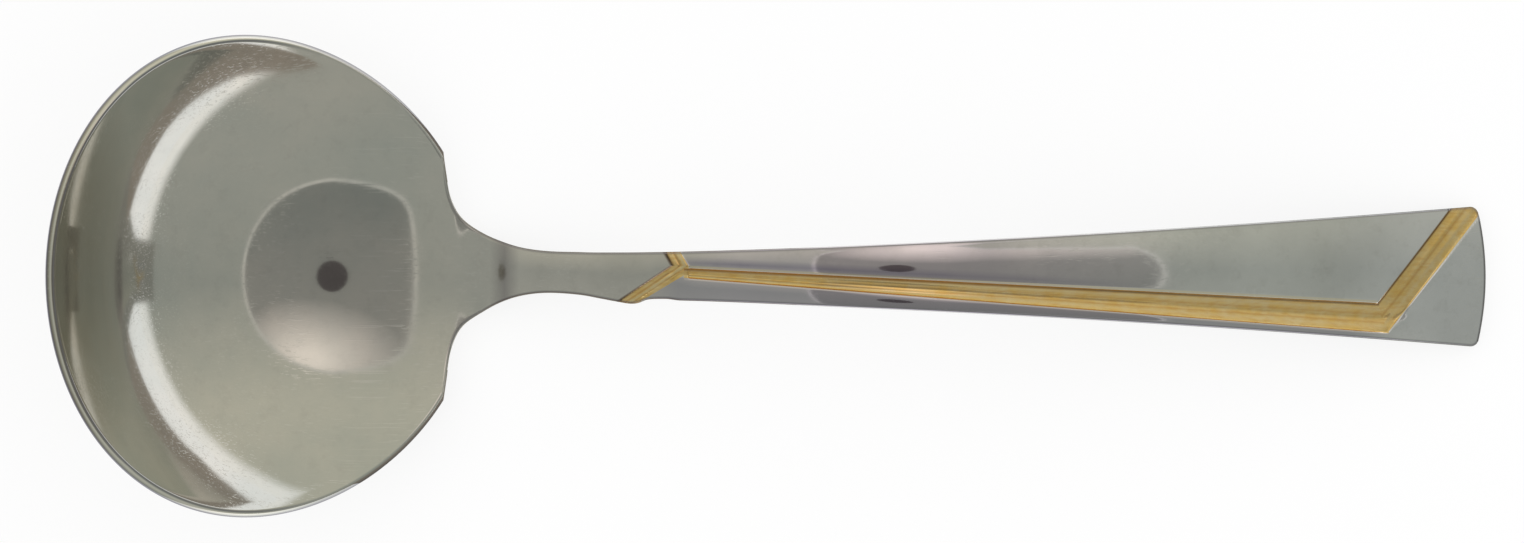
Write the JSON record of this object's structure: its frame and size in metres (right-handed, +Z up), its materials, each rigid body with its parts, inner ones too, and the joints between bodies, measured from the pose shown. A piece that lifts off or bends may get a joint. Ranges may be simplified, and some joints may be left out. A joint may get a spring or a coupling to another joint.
{
  "type": "gravy ladle",
  "caption": "Gravy ladle in one piece: round dished bowl tipped to a narrow neck, and a flat arched handle that widens to its end, with a slanting relief stripe.",
  "frame": {"origin": "middle of the bounding box in X and Y, on the table at Z = 0, with the ladle lying as it comes to rest", "axes": "+X from the front of the bowl to the handle's end, +Y to the left when looking along +X from above, +Z up"},
  "size_m": [0.178, 0.0598, 0.0299],
  "materials": {
    "steel": "polished stainless steel with fine scratches; the arrow and the slanting stripe on the handle are gold plated"
  },
  "bodies": {
    "root": {"ladle": "steel"}
  },
  "joints": []
}
